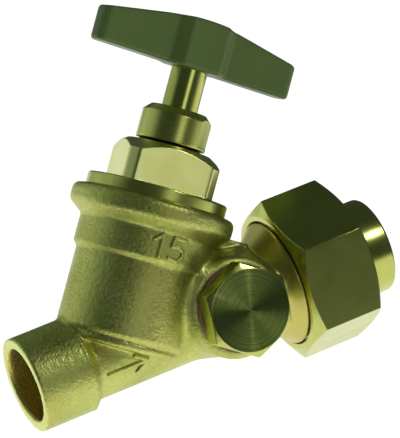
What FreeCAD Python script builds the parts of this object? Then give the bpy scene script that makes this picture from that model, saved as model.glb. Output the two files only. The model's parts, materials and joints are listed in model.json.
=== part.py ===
import FreeCAD, Part
import math
import os
import re
import Sketcher

# Isolating valve with a slanted seat: a 15 mm solder socket at the inlet, a union at the outlet,
# a rising spindle with a T handle and a drain plug on the side. Millimetres.
# The origin is the centre of the inlet mouth, +X is the way of the flow and +Z is up. The stem leans
# towards the outlet in the XZ plane and the drain plug faces -Y. Along the stem, heights are counted
# from the point where the stem axis meets the flow axis.

SIZES = (
    # Lines that the pieces are set out from
    ("stem_offset", 20.3, "inlet mouth to the crossing of stem and flow axes"),
    ("stem_angle", 55, "lean of the stem above the flow axis, degrees"),
    ("thread_clearance", 0.15, "radial room between a screwed pair"),
    ("running_clearance", 0.1, "radial room round a turning shaft"),
    ("seat_clearance", 0.1, "room left between faces that close on each other"),
    ("overshoot", 1, "how far a cutting profile runs past the piece"),
    # Flow line of the body
    ("socket_bore", 15.1, "solder socket, inside diameter"),
    ("socket_depth", 11, "solder socket, depth of the pipe stop"),
    ("socket_outside", 19.6, "inlet socket, outside diameter"),
    ("socket_length", 11.7, "inlet socket, length of the full outside diameter"),
    ("socket_taper", 1.6, "length of the shoulder behind the socket"),
    ("mouth_round", 0.5, "rounding of the socket mouth"),
    ("tube_outside", 16.5, "lower tube, outside diameter"),
    ("neck_outside", 22, "outlet neck, outside diameter"),
    ("neck_start", 20.2, "crossing to the foot of the neck"),
    ("neck_rise", 6.3, "length of the cone up to the full neck"),
    ("neck_length", 6.3, "length of the full neck"),
    ("waist_outside", 20.4, "waist behind the union thread, outside diameter"),
    ("waist_slope", 1.4, "length of the slope from the neck down to the waist"),
    ("union_flare", 2.9, "length of the flare from the waist up to the union thread"),
    ("union_thread", 26.2, "union male thread, outside diameter"),
    ("union_thread_length", 7.8, "union male thread, length"),
    ("flow_bore", 12, "inlet passage and seat hole, diameter"),
    ("inlet_end", 5, "crossing to the blind end of the inlet passage"),
    ("outlet_bore", 13, "outlet passage, diameter"),
    ("outlet_start", 11.5, "crossing to the start of the outlet passage"),
    # Barrel of the body, round the stem
    ("barrel_foot", 0.4, "underside of the barrel"),
    ("barrel_outside", 25.8, "barrel, outside diameter"),
    ("foot_outside", 24.6, "foot of the barrel below its bevel, outside diameter"),
    ("foot_round", 0.8, "rounding under the barrel"),
    ("bevel_foot", 2, "lower edge of the bevel at the barrel's foot"),
    ("bevel_height", 0.9, "height of the bevel at the barrel's foot"),
    ("band_foot", 18.1, "underside of the raised band"),
    ("band_ledge", 0.9, "height of the sloped ledge under the band"),
    ("band_outside", 27.5, "raised band, outside diameter"),
    ("flare_foot", 24.7, "foot of the flare under the rim"),
    ("flare_height", 2.2, "height of the flare"),
    ("rim_outside", 33.4, "rim, outside diameter"),
    ("rim_round", 1.5, "rounding of the rim"),
    ("rim_top", 30.6, "top face of the rim"),
    ("seat_height", 7, "seat face"),
    ("chamber_bore", 20.8, "chamber above the seat, diameter"),
    ("bonnet_thread", 22.7, "bonnet male thread, diameter"),
    ("bonnet_thread_length", 7, "bonnet male thread, length below the collar"),
    # Bonnet and its seal
    ("gasket_outside", 25.8, "bonnet gasket, outside diameter"),
    ("gasket_thickness", 1.5, "bonnet gasket, thickness"),
    ("collar_outside", 28.8, "bonnet collar, outside diameter"),
    ("collar_height", 2.6, "bonnet collar, height"),
    ("collar_round", 0.4, "rounding of the collar"),
    ("bonnet_square", 19, "spanner square, across flats"),
    ("bonnet_facet", 15.4, "width of each flat of the square"),
    ("bonnet_height", 11.2, "rim to the top of the bonnet"),
    ("bonnet_corner_height", 8.9, "rim to the top of the square's corners"),
    ("bonnet_top", 17, "flat top of the bonnet, diameter"),
    ("bonnet_angle", -9, "turn of the square about the stem, degrees"),
    # Stuffing box
    ("box_bore", 12, "stuffing box, diameter"),
    ("box_floor", 2.9, "rim to the floor of the stuffing box"),
    ("washer_thickness", 0.8, "washer under the packing"),
    ("packing_height", 1.9, "height of one packing ring"),
    ("gland_ring_height", 1, "ring above the packing"),
    ("gland_outside", 14.3, "gland nut, outside diameter"),
    ("gland_height", 7.8, "gland nut, height above the bonnet"),
    ("gland_chamfer", 1.45, "chamfer on top of the gland nut"),
    ("gland_flats", 13, "gland nut, across flats"),
    ("gland_skirt", 1, "height of the round foot below the flats"),
    ("gland_angle", -42, "turn of the gland flats about the stem, degrees"),
    # Spindle, at rest with the valve open
    ("stem_outside", 7.4, "stem, diameter"),
    ("spindle_thread", 10, "spindle thread, diameter"),
    ("spindle_thread_length", 8.8, "spindle thread, length"),
    ("tip_outside", 6.2, "spindle tip in the disc holder, diameter"),
    ("tip_groove", 4.6, "groove of the tip, diameter"),
    ("drive_square", 5.4, "square under the handle, across flats"),
    ("drive_height", 6, "square under the handle, height"),
    ("screw_hole", 4, "tapped hole in the spindle, diameter"),
    ("screw_hole_depth", 8, "tapped hole in the spindle, depth"),
    # Valve disc
    ("lift", 6, "travel of the disc from open to shut"),
    ("disc_washer_thickness", 2, "disc washer, thickness"),
    ("holder_outside", 17.6, "disc holder, outside diameter"),
    ("holder_plate", 2.2, "disc holder, thickness of the plate"),
    ("holder_boss", 11.2, "disc holder boss, diameter"),
    ("holder_boss_height", 5.4, "disc holder boss, height above the plate"),
    ("cup_lip", 1.2, "depth of the lip round the disc washer"),
    ("cup_wall", 0.6, "thickness of the lip round the disc washer"),
    ("stud_outside", 4.8, "stud through the disc washer, diameter"),
    ("disc_nut_flats", 8, "disc nut, across flats"),
    ("disc_nut_height", 2.1, "disc nut, height"),
    ("clip_thickness", 0.9, "clip that holds the tip, thickness"),
    ("clip_outside", 8.4, "clip, outside diameter"),
    ("clip_opening", 3, "opening of the clip"),
    # Handle
    ("handle_base", 58, "underside of the handle"),
    ("handle_length", 46, "handle, length"),
    ("wing_thickness", 5.2, "wing, thickness"),
    ("hub_thickness", 9.5, "hub, thickness"),
    ("hub_face", 8.4, "hub, width of the flat face"),
    ("hub_slope", 2.5, "hub, length of the slope down to the wing"),
    ("handle_peak", 11.1, "height where the two roof slopes would meet"),
    ("handle_end_height", 7, "height at the ends"),
    ("roof_round", 55, "rounding of the roof over the hub"),
    ("wing_round", 1.8, "rounding of the wing ends"),
    ("hub_round", 0.9, "rounding of the hub's upright edges"),
    ("handle_edge", 0.6, "rounding of the handle's long edges"),
    ("handle_angle", 7, "turn of the handle about the stem, degrees"),
    ("drive_shelf", 1.4, "wall above the square, under the screw head"),
    # Handle screw
    ("screw_shank", 3.7, "handle screw, diameter"),
    ("screw_length", 6, "handle screw, length in the spindle"),
    ("screw_head", 6.8, "handle screw head, diameter"),
    ("screw_head_height", 1.8, "handle screw head, height"),
    ("screw_head_room", 0.2, "radial room round the screw head"),
    ("screw_slot", 1, "width of the screw slot"),
    ("screw_slot_depth", 0.9, "depth of the screw slot"),
    # Union at the outlet
    ("union_gasket_thickness", 2, "union gasket, thickness"),
    ("union_gasket_outside", 24.4, "union gasket, outside diameter"),
    ("union_gasket_hole", 15, "union gasket, inside diameter"),
    ("tail_flange", 25.2, "flange of the union tail, diameter"),
    ("tail_flange_thickness", 2.8, "flange of the union tail, thickness"),
    ("tail_outside", 20, "union tail, outside diameter"),
    ("tail_length", 13.2, "union tail, length of the whole piece"),
    ("tail_stop", 2.2, "wall behind the pipe in the tail"),
    ("nut_flats", 30, "union nut, across flats"),
    ("nut_skirt", 0.4, "start of the union thread to the mouth of the nut"),
    ("nut_lip", 3.5, "thickness of the nut's inward lip"),
    ("nut_face", 28.8, "chamfer circle on the nut's faces, diameter"),
    ("nut_chamfer", 1.5, "height of the nut's corner chamfer"),
    ("nut_countersink", 0.6, "countersink in the mouth of the nut"),
    ("nut_angle", 3.8, "turn of the nut about the flow axis, degrees"),
    # Drain plug
    ("plug_reach", 23.44, "crossing to the plug axis"),
    ("plug_rise", 0.9, "plug axis above the flow axis"),
    ("boss_outside", 20.8, "plug boss, diameter"),
    ("boss_face", 11.6, "flow axis to the face of the plug boss"),
    ("boss_round", 1.5, "rounding of the plug boss"),
    ("plug_thread", 12.9, "plug thread, diameter"),
    ("plug_thread_length", 5.4, "plug thread, length in the boss"),
    ("plug_washer_outside", 18, "plug washer, outside diameter"),
    ("plug_washer_thickness", 1.3, "plug washer, thickness"),
    ("plug_flats", 17, "plug head, across flats"),
    ("plug_head", 4.6, "plug head, thickness"),
    ("plug_face", 16.6, "chamfer circle on the plug head, diameter"),
    ("plug_chamfer", 0.9, "height of the plug head's corner chamfer"),
    ("plug_angle", 24.5, "turn of the plug head, degrees"),
)

# Heights and places that follow from the sizes
NECK_START = "stem_offset + neck_start"
NECK_FULL = f"{NECK_START} + neck_rise"
NECK_END = f"{NECK_FULL} + neck_length"
WAIST = f"{NECK_END} + waist_slope"
UNION_START = f"{WAIST} + union_flare"
BODY_END = f"{UNION_START} + union_thread_length"
TAIL_START = f"{BODY_END} + union_gasket_thickness"
FLANGE_END = f"{TAIL_START} + tail_flange_thickness"
TAIL_END = f"{TAIL_START} + tail_length"
NUT_START = f"{UNION_START} + nut_skirt"
NUT_LIP_START = f"{FLANGE_END} + seat_clearance"
NUT_END = f"{NUT_LIP_START} + nut_lip"
BONNET_FOOT = "rim_top - bonnet_thread_length"
GASKET_FLOOR = "rim_top - gasket_thickness"
COLLAR_TOP = "rim_top + collar_height"
BONNET_TOP = "rim_top + bonnet_height"
BOX_FLOOR = "rim_top + box_floor"
PACKING_FOOT = f"{BOX_FLOOR} + washer_thickness"
PACKING_MIDDLE = f"{PACKING_FOOT} + packing_height"
PACKING_TOP = f"{PACKING_MIDDLE} + packing_height"
GLAND_FOOT = f"{PACKING_TOP} + gland_ring_height"
GLAND_TOP = f"{BONNET_TOP} + gland_height"
WASHER_FOOT = "seat_height + lift + seat_clearance"
PLATE_FOOT = f"{WASHER_FOOT} + disc_washer_thickness"
PLATE_TOP = f"{PLATE_FOOT} + holder_plate"
HOLDER_TOP = f"{PLATE_TOP} + holder_boss_height"
TIP_FOOT = f"{PLATE_TOP} + seat_clearance"
CLIP_FOOT = f"{PLATE_TOP} + holder_boss_height / 2"
CLIP_TOP = f"{CLIP_FOOT} + clip_thickness"
THREAD_TOP = f"{BOX_FLOOR} - seat_clearance"
THREAD_FOOT = f"{THREAD_TOP} - spindle_thread_length"
DRIVE_TOP = "handle_base + drive_height"
SHELF_FOOT = f"{DRIVE_TOP} + seat_clearance"
SHELF_TOP = f"{SHELF_FOOT} + drive_shelf"
SCREW_TIP = f"{DRIVE_TOP} - screw_length"
ROOF_TOP = "handle_base + handle_peak"
WASHER_FACE = "boss_face + plug_washer_thickness"
PLUG_FRONT = f"{WASHER_FACE} + plug_head"

doc = FreeCAD.newDocument("isolating_valve")
sheet = doc.addObject("Spreadsheet::Sheet", "Sizes")
for row, (alias, number, note) in enumerate(SIZES, start=1):
    sheet.set(f"A{row}", note)
    sheet.set(f"B{row}", str(number))
    sheet.setAlias(f"B{row}", alias)
doc.recompute()
size_names = {alias for alias, number, note in SIZES}


def bound(text):
    """The expression with each size name pointed at its cell."""

    def cell(word):
        name = word.group()
        return f"Sizes.{name}" if name in size_names else name

    return re.sub(r"[a-z_]+", cell, text)


def value(text):
    """What the expression comes to now."""
    result = sheet.evalExpression(bound(text))
    return float(getattr(result, "Value", result))


def new_body(name, base=("0", "0", "0"), axis=(0, 0, 1), angle="0", turn="0"):
    """A body whose own Z axis is laid along the line that its piece is made round."""
    body = doc.addObject("PartDesign::Body", name)
    body.Label = name
    x, y, z = (bound(text) for text in base)
    lean = f"rotation(vector({axis[0]}; {axis[1]}; {axis[2]}); ({bound(angle)}) * 1 deg)"
    spin = f"rotation(vector(0; 0; 1); ({bound(turn)}) * 1 deg)"
    body.setExpression("Placement", f"placement(vector({x}; {y}; {z}); {lean} * {spin})")
    return body


def stem_body(name, turn="0"):
    """A piece made round the stem axis, with heights from the crossing."""
    return new_body(name, ("stem_offset", "0", "0"), (0, 1, 0), "90 - stem_angle", turn)


def flow_body(name, turn="0"):
    """A piece made round the flow axis, with lengths from the inlet mouth."""
    return new_body(name, axis=(0, 1, 0), angle="90", turn=turn)


def plug_body(name, turn="0"):
    """A piece made round the plug axis, with lengths from the flow axis outwards."""
    return new_body(name, ("stem_offset + plug_reach", "0", "plug_rise"), (1, 0, 0), "90", turn)


def origin_plane(body, role):
    return next(item for item in body.Origin.OriginFeatures if item.Role == role)


def round_corner(before, corner, after, radius):
    """Tangent points and centre of an arc of this radius in a corner."""
    towards = (before - corner).normalize()
    away = (after - corner).normalize()
    half = towards.getAngle(away) / 2
    setback = radius / math.tan(half)
    reach = radius / math.sin(half)
    middle = (towards + away).normalize()
    return corner + towards * setback, corner + away * setback, corner + middle * reach


def add_profile(body, plane, corners, at=("0", "0", "0"), turn="0"):
    """A closed sketch through corners of (x, y) or (x, y, radius), all bound to the sheet."""
    sketch = body.newObject("Sketcher::SketchObject", "Profile")
    sketch.AttachmentSupport = [(origin_plane(body, plane), "")]
    sketch.MapMode = "FlatFace"
    for letter, text in zip("xyz", at):
        sketch.setExpression(f"AttachmentOffset.Base.{letter}", bound(text))
    sketch.setExpression("AttachmentOffset.Rotation.Angle", f"({bound(turn)}) * 1 deg")

    def fix(constraint, text):
        index = sketch.addConstraint(constraint)
        sketch.setExpression(f"Constraints[{index}]", bound(text))

    def pin(geometry, corner):
        x, y = corner[:2]
        fix(Sketcher.Constraint("DistanceX", -1, 1, geometry, 1, value(x)), x)
        fix(Sketcher.Constraint("DistanceY", -1, 1, geometry, 1, value(y)), y)

    count = len(corners)
    points = [FreeCAD.Vector(value(corner[0]), value(corner[1]), 0) for corner in corners]
    leave = list(points)
    arrive = list(points)
    centres = {}
    for index, corner in enumerate(corners):
        if len(corner) == 3:
            before = points[index - 1]
            after = points[(index + 1) % count]
            ends = round_corner(before, points[index], after, value(corner[2]))
            arrive[index], leave[index], centres[index] = ends
    for index in range(count):
        sketch.addGeometry(Part.LineSegment(leave[index], arrive[(index + 1) % count]), False)
    for index, corner in enumerate(corners):
        line_in = (index - 1) % count
        line_out = index
        if index not in centres:
            sketch.addConstraint(Sketcher.Constraint("Coincident", line_in, 2, line_out, 1))
            pin(line_out, corner)
            continue
        radius = value(corner[2])
        step_in = arrive[index] - centres[index]
        step_out = leave[index] - centres[index]
        left_turn = step_in.cross(step_out).z > 0
        first, last = (step_in, step_out) if left_turn else (step_out, step_in)
        circle = Part.Circle(centres[index], FreeCAD.Vector(0, 0, 1), radius)
        start = circle.parameter(centres[index] + first)
        finish = circle.parameter(centres[index] + last)
        arc = sketch.addGeometry(Part.ArcOfCircle(circle, start, finish), False)
        point = sketch.addGeometry(Part.Point(points[index]), True)
        end_in, end_out = (1, 2) if left_turn else (2, 1)
        sketch.addConstraint(Sketcher.Constraint("Tangent", line_in, 2, arc, end_in))
        sketch.addConstraint(Sketcher.Constraint("Tangent", arc, end_out, line_out, 1))
        sketch.addConstraint(Sketcher.Constraint("PointOnObject", point, 1, line_in))
        sketch.addConstraint(Sketcher.Constraint("PointOnObject", point, 1, line_out))
        fix(Sketcher.Constraint("Radius", arc, radius), corner[2])
        pin(point, corner)
    return sketch


def revolve(body, corners, axis="V_Axis", plane="XZ_Plane", cut=False, at=("0", "0", "0"), turn="0"):
    """A profile turned once round a sketch axis, added or cut."""
    sketch = add_profile(body, plane, corners, at, turn)
    kind = "Groove" if cut else "Revolution"
    feature = body.newObject(f"PartDesign::{kind}", kind)
    feature.Profile = (sketch, [""])
    feature.ReferenceAxis = (sketch, [axis])
    feature.Angle = 360
    body.Tip = feature
    return feature


def prism(body, corners, start, end, plane="XY_Plane", cut=False):
    """A profile drawn out from start to end along its plane's normal, added or cut."""
    sketch = add_profile(body, plane, corners, ("0", "0", end if cut else start))
    kind = "Pocket" if cut else "Pad"
    feature = body.newObject(f"PartDesign::{kind}", kind)
    feature.Profile = (sketch, [""])
    feature.setExpression("Length", bound(f"({end}) - ({start})"))
    body.Tip = feature
    return feature


def tube(body, inside, outside, start, end):
    """A plain ring between two heights; the two sizes are diameters."""
    corners = [(f"({inside}) / 2", start), (f"({outside}) / 2", start)]
    corners += [(f"({outside}) / 2", end), (f"({inside}) / 2", end)]
    return revolve(body, corners)


def bore(body, diameter, start, end):
    """A round hole on the body's own axis between two heights."""
    half = f"({diameter}) / 2"
    return revolve(body, [("0", start), (half, start), (half, end), ("0", end)], cut=True)


def regular_polygon(count, flats, first=0):
    """Corners of a regular polygon by its size across flats."""
    reach = f"({flats}) / 2 / cos({180 / count} deg)"
    angles = [first + 360 / count * index for index in range(count)]
    return [(f"{reach} * cos({angle} deg)", f"{reach} * sin({angle} deg)") for angle in angles]


def corner_chamfer(body, flats, circle, face, height, outwards):
    """Cuts a polygon's corners back to a circle on one end face; outwards is + or - along the axis."""
    reach = f"({flats}) / 2 / cos(30 deg)"
    edge = f"({circle}) / 2"
    slope = f"({height}) / ({reach} - {edge})"
    over = f"({reach} + overshoot)"
    low = f"({face}) {'-' if outwards == '+' else '+'} {slope} * ({over} - {edge})"
    clear = f"({face}) {outwards} overshoot"
    corners = [(edge, face), (over, low), (over, clear), (edge, clear)]
    return revolve(body, corners, cut=True)


def make_valve_body():
    body = new_body("body")
    flow_outline = [
        ("0", "0"),
        ("0", "socket_outside / 2", "mouth_round"),
        ("socket_length", "socket_outside / 2", "mouth_round"),
        ("socket_length + socket_taper", "tube_outside / 2", "mouth_round"),
        (NECK_START, "tube_outside / 2"),
        (NECK_FULL, "neck_outside / 2"),
        (NECK_END, "neck_outside / 2", "mouth_round"),
        (WAIST, "waist_outside / 2", "mouth_round"),
        (UNION_START, "union_thread / 2"),
        (BODY_END, "union_thread / 2", "mouth_round"),
        (BODY_END, "0"),
    ]
    revolve(body, flow_outline, "H_Axis")
    barrel_outline = [
        ("barrel_foot", "0"),
        ("barrel_foot", "foot_outside / 2", "foot_round"),
        ("bevel_foot", "foot_outside / 2"),
        ("bevel_foot + bevel_height", "barrel_outside / 2"),
        ("band_foot", "barrel_outside / 2"),
        ("band_foot + band_ledge", "band_outside / 2"),
        ("flare_foot", "band_outside / 2", "rim_round"),
        ("flare_foot + flare_height", "rim_outside / 2", "rim_round"),
        ("rim_top", "rim_outside / 2", "rim_round"),
        ("rim_top", "0"),
    ]
    stem_line = {"at": ("stem_offset", "0", "0"), "turn": "stem_angle"}
    revolve(body, barrel_outline, "H_Axis", **stem_line)
    plug_line = {"plane": "XY_Plane", "at": ("stem_offset + plug_reach", "0", "plug_rise")}
    boss = [
        ("0", "0"),
        ("0", "-boss_face"),
        ("boss_outside / 2", "-boss_face", "boss_round"),
        ("boss_outside / 2", "0"),
    ]
    revolve(body, boss, **plug_line)
    inlet_passage = [
        ("0", "0"),
        ("0", "socket_bore / 2"),
        ("socket_depth", "socket_bore / 2"),
        ("socket_depth", "flow_bore / 2"),
        ("stem_offset + inlet_end", "flow_bore / 2"),
        ("stem_offset + inlet_end", "0"),
    ]
    revolve(body, inlet_passage, "H_Axis", cut=True)
    chamber = [
        ("0", "0"),
        ("0", "flow_bore / 2"),
        ("seat_height", "flow_bore / 2"),
        ("seat_height", "chamber_bore / 2"),
        (f"{BONNET_FOOT} - seat_clearance", "chamber_bore / 2"),
        (f"{BONNET_FOOT} - seat_clearance", "bonnet_thread / 2 + thread_clearance"),
        (GASKET_FLOOR, "bonnet_thread / 2 + thread_clearance"),
        (GASKET_FLOOR, "gasket_outside / 2 + seat_clearance"),
        ("rim_top", "gasket_outside / 2 + seat_clearance"),
        ("rim_top", "0"),
    ]
    revolve(body, chamber, "H_Axis", cut=True, **stem_line)
    outlet_passage = [
        ("stem_offset + outlet_start", "0"),
        ("stem_offset + outlet_start", "outlet_bore / 2"),
        (BODY_END, "outlet_bore / 2"),
        (BODY_END, "0"),
    ]
    revolve(body, outlet_passage, "H_Axis", cut=True)
    plug_hole = [
        ("0", "0"),
        ("0", "-boss_face"),
        ("plug_thread / 2 + thread_clearance", "-boss_face"),
        ("plug_thread / 2 + thread_clearance", "0"),
    ]
    revolve(body, plug_hole, cut=True, **plug_line)


def make_bonnet():
    body = stem_body("bonnet", "bonnet_angle")
    outline = [
        ("0", BONNET_FOOT),
        ("bonnet_thread / 2", BONNET_FOOT, "collar_round"),
        ("bonnet_thread / 2", "rim_top"),
        ("collar_outside / 2", "rim_top"),
        ("collar_outside / 2", COLLAR_TOP, "collar_round"),
        ("0", COLLAR_TOP),
    ]
    revolve(body, outline)
    flat = "bonnet_square / 2"
    half = "bonnet_facet / 2"
    square = []
    for first, second in ((flat, half), (half, flat)):
        square += [(f"{a}{first}", f"{b}{second}") for a in ("", "-") for b in ("", "-")]
    order = (1, 0, 4, 6, 2, 3, 7, 5)
    prism(body, [square[index] for index in order], COLLAR_TOP, BONNET_TOP)
    corner = "sqrt(bonnet_square ^ 2 + bonnet_facet ^ 2) / 2"
    drop = "(bonnet_height - bonnet_corner_height)"
    slope = f"{drop} / ({corner} - bonnet_top / 2)"
    chamfer = [
        ("bonnet_top / 2", BONNET_TOP),
        (f"{corner} + overshoot", f"{BONNET_TOP} - {drop} - {slope} * overshoot"),
        (f"{corner} + overshoot", f"{BONNET_TOP} + overshoot"),
        ("bonnet_top / 2", f"{BONNET_TOP} + overshoot"),
    ]
    revolve(body, chamfer, cut=True)
    bore(body, "spindle_thread + 2 * thread_clearance", BONNET_FOOT, BOX_FLOOR)
    bore(body, "box_bore", BOX_FLOOR, BONNET_TOP)


def make_stuffing_box():
    shaft_hole = "stem_outside + 2 * running_clearance"
    filling = "box_bore - 2 * running_clearance"
    stack = (
        ("packing_washer", BOX_FLOOR, PACKING_FOOT),
        ("packing_ring_lower", PACKING_FOOT, PACKING_MIDDLE),
        ("packing_ring_upper", PACKING_MIDDLE, PACKING_TOP),
        ("gland_ring", PACKING_TOP, GLAND_FOOT),
    )
    for name, start, end in stack:
        tube(stem_body(name), shaft_hole, filling, start, end)
    gland = stem_body("gland_nut", "gland_angle")
    outline = [
        ("0", GLAND_FOOT),
        ("box_bore / 2 - thread_clearance", GLAND_FOOT),
        ("box_bore / 2 - thread_clearance", BONNET_TOP),
        ("gland_outside / 2", BONNET_TOP),
        ("gland_outside / 2", f"{GLAND_TOP} - gland_chamfer"),
        ("gland_outside / 2 - gland_chamfer", GLAND_TOP),
        ("0", GLAND_TOP),
    ]
    revolve(gland, outline)
    for side in ("", "-"):
        near = f"{side}gland_flats / 2"
        far = f"{side}gland_outside"
        cheek = [(near, "-gland_outside"), (far, "-gland_outside")]
        cheek += [(far, "gland_outside"), (near, "gland_outside")]
        prism(gland, cheek, f"{BONNET_TOP} + gland_skirt", GLAND_TOP, cut=True)
    bore(gland, shaft_hole, GLAND_FOOT, GLAND_TOP)


def make_spindle():
    body = stem_body("spindle", "handle_angle")
    groove_foot = f"{CLIP_FOOT} - seat_clearance"
    groove_top = f"{CLIP_TOP} + seat_clearance"
    outline = [
        ("0", TIP_FOOT),
        ("tip_outside / 2", TIP_FOOT),
        ("tip_outside / 2", groove_foot),
        ("tip_groove / 2", groove_foot),
        ("tip_groove / 2", groove_top),
        ("tip_outside / 2", groove_top),
        ("tip_outside / 2", THREAD_FOOT),
        ("spindle_thread / 2", THREAD_FOOT),
        ("spindle_thread / 2", THREAD_TOP),
        ("stem_outside / 2", THREAD_TOP),
        ("stem_outside / 2", "handle_base"),
        ("0", "handle_base"),
    ]
    revolve(body, outline)
    prism(body, regular_polygon(4, "drive_square", 45), "handle_base", DRIVE_TOP)
    bore(body, "screw_hole", f"{DRIVE_TOP} - screw_hole_depth", DRIVE_TOP)


def make_disc():
    holder = stem_body("disc_holder")
    pocket = "tip_outside / 2 + running_clearance"
    cup = "holder_outside / 2 - cup_wall"
    outline = [
        ("0", f"{WASHER_FOOT} - disc_nut_height"),
        ("stud_outside / 2", f"{WASHER_FOOT} - disc_nut_height"),
        ("stud_outside / 2", PLATE_FOOT),
        (cup, PLATE_FOOT),
        (cup, f"{PLATE_FOOT} - cup_lip"),
        ("holder_outside / 2", f"{PLATE_FOOT} - cup_lip"),
        ("holder_outside / 2", PLATE_TOP),
        ("holder_boss / 2", PLATE_TOP),
        ("holder_boss / 2", HOLDER_TOP),
        (pocket, HOLDER_TOP),
        (pocket, f"{CLIP_TOP} + seat_clearance"),
        ("clip_outside / 2 + running_clearance", f"{CLIP_TOP} + seat_clearance"),
        ("clip_outside / 2 + running_clearance", CLIP_FOOT),
        (pocket, CLIP_FOOT),
        (pocket, PLATE_TOP),
        ("0", PLATE_TOP),
    ]
    revolve(holder, outline)
    stud_hole = "stud_outside + 2 * running_clearance"
    washer_outside = f"2 * ({cup} - running_clearance)"
    tube(stem_body("disc_washer"), stud_hole, washer_outside, WASHER_FOOT, PLATE_FOOT)
    nut = stem_body("disc_nut")
    nut_foot = f"{WASHER_FOOT} - disc_nut_height"
    prism(nut, regular_polygon(6, "disc_nut_flats"), nut_foot, WASHER_FOOT)
    bore(nut, stud_hole, nut_foot, WASHER_FOOT)
    clip = stem_body("disc_clip")
    tube(clip, "tip_groove + 2 * running_clearance", "clip_outside", CLIP_FOOT, CLIP_TOP)
    gap = [("0", "-clip_opening / 2"), ("clip_outside", "-clip_opening / 2")]
    gap += [("clip_outside", "clip_opening / 2"), ("0", "clip_opening / 2")]
    prism(clip, gap, CLIP_FOOT, CLIP_TOP, cut=True)


def make_handle():
    body = stem_body("handle", "handle_angle")
    end = "handle_length / 2"
    wing = "wing_thickness / 2"
    hub = "hub_thickness / 2"
    face = "hub_face / 2"
    foot = "(hub_face / 2 + hub_slope)"
    front = [
        (f"-{end}", f"-{wing}", "wing_round"),
        (f"-{foot}", f"-{wing}", "hub_round"),
        (f"-{face}", f"-{hub}", "hub_round"),
        (face, f"-{hub}", "hub_round"),
        (foot, f"-{wing}", "hub_round"),
        (end, f"-{wing}", "wing_round"),
    ]
    back = [
        (end, wing, "wing_round"),
        (foot, wing, "hub_round"),
        (face, hub, "hub_round"),
        (f"-{face}", hub, "hub_round"),
        (f"-{foot}", wing, "hub_round"),
        (f"-{end}", wing, "wing_round"),
    ]
    prism(body, front + back, "handle_base", ROOF_TOP)
    fall = "(handle_peak - handle_end_height)"
    over = f"({end} + overshoot)"
    eaves = f"{ROOF_TOP} - {fall} * {over} / ({end})"
    sky = f"{ROOF_TOP} + overshoot"
    roof = [(f"-{over}", eaves), ("0", ROOF_TOP, "roof_round"), (over, eaves)]
    roof += [(over, sky), (f"-{over}", sky)]
    roofed = prism(body, roof, "-hub_thickness", "hub_thickness", "XZ_Plane", cut=True)
    doc.recompute()
    tiny = 1e-6
    long_edges = []
    for index, edge in enumerate(roofed.Shape.Edges, start=1):
        box = edge.BoundBox
        lies_flat = box.ZMax - value("handle_base") < tiny
        on_roof = box.ZMin > value("handle_base + handle_end_height / 2")
        roof_seam = on_roof and box.XLength < tiny and abs(box.XMin) < value(end) - tiny
        if lies_flat or (on_roof and not roof_seam):
            long_edges.append(f"Edge{index}")
    rounding = body.newObject("PartDesign::Fillet", "Fillet")
    rounding.Base = (roofed, long_edges)
    rounding.setExpression("Radius", bound("handle_edge"))
    body.Tip = rounding
    drive_hole = regular_polygon(4, "drive_square + 2 * running_clearance", 45)
    prism(body, drive_hole, "handle_base", SHELF_FOOT, cut=True)
    bore(body, "screw_hole + 2 * running_clearance", SHELF_FOOT, SHELF_TOP)
    bore(body, "screw_head + 2 * screw_head_room", SHELF_TOP, ROOF_TOP)
    screw = stem_body("handle_screw", "handle_angle")
    head_top = f"{SHELF_TOP} + screw_head_height"
    outline = [
        ("0", SCREW_TIP),
        ("screw_shank / 2", SCREW_TIP),
        ("screw_shank / 2", SHELF_TOP),
        ("screw_head / 2", SHELF_TOP),
        ("screw_head / 2", head_top, "screw_head_height / 2"),
        ("0", head_top),
    ]
    revolve(screw, outline)
    slot = [("-screw_head", "-screw_slot / 2"), ("screw_head", "-screw_slot / 2")]
    slot += [("screw_head", "screw_slot / 2"), ("-screw_head", "screw_slot / 2")]
    prism(screw, slot, f"{head_top} - screw_slot_depth", head_top, cut=True)


def make_union():
    gasket = flow_body("union_gasket")
    tube(gasket, "union_gasket_hole", "union_gasket_outside", BODY_END, TAIL_START)
    tail = flow_body("union_tail")
    outline = [
        ("outlet_bore / 2", TAIL_START),
        ("tail_flange / 2", TAIL_START),
        ("tail_flange / 2", FLANGE_END),
        ("tail_outside / 2", FLANGE_END),
        ("tail_outside / 2", TAIL_END, "mouth_round"),
        ("socket_bore / 2", TAIL_END),
        ("socket_bore / 2", f"{TAIL_START} + tail_stop"),
        ("outlet_bore / 2", f"{TAIL_START} + tail_stop"),
    ]
    revolve(tail, outline)
    nut = flow_body("union_nut", "nut_angle")
    prism(nut, regular_polygon(6, "nut_flats"), NUT_START, NUT_END)
    corner_chamfer(nut, "nut_flats", "nut_face", NUT_END, "nut_chamfer", "+")
    corner_chamfer(nut, "nut_flats", "nut_face", NUT_START, "nut_chamfer", "-")
    thread = "union_thread / 2 + thread_clearance"
    inside = [
        ("0", NUT_START),
        (f"{thread} + nut_countersink", NUT_START),
        (thread, f"{NUT_START} + nut_countersink"),
        (thread, NUT_LIP_START),
        ("tail_outside / 2 + thread_clearance", NUT_LIP_START),
        ("tail_outside / 2 + thread_clearance", NUT_END),
        ("0", NUT_END),
    ]
    revolve(nut, inside, cut=True)


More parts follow.
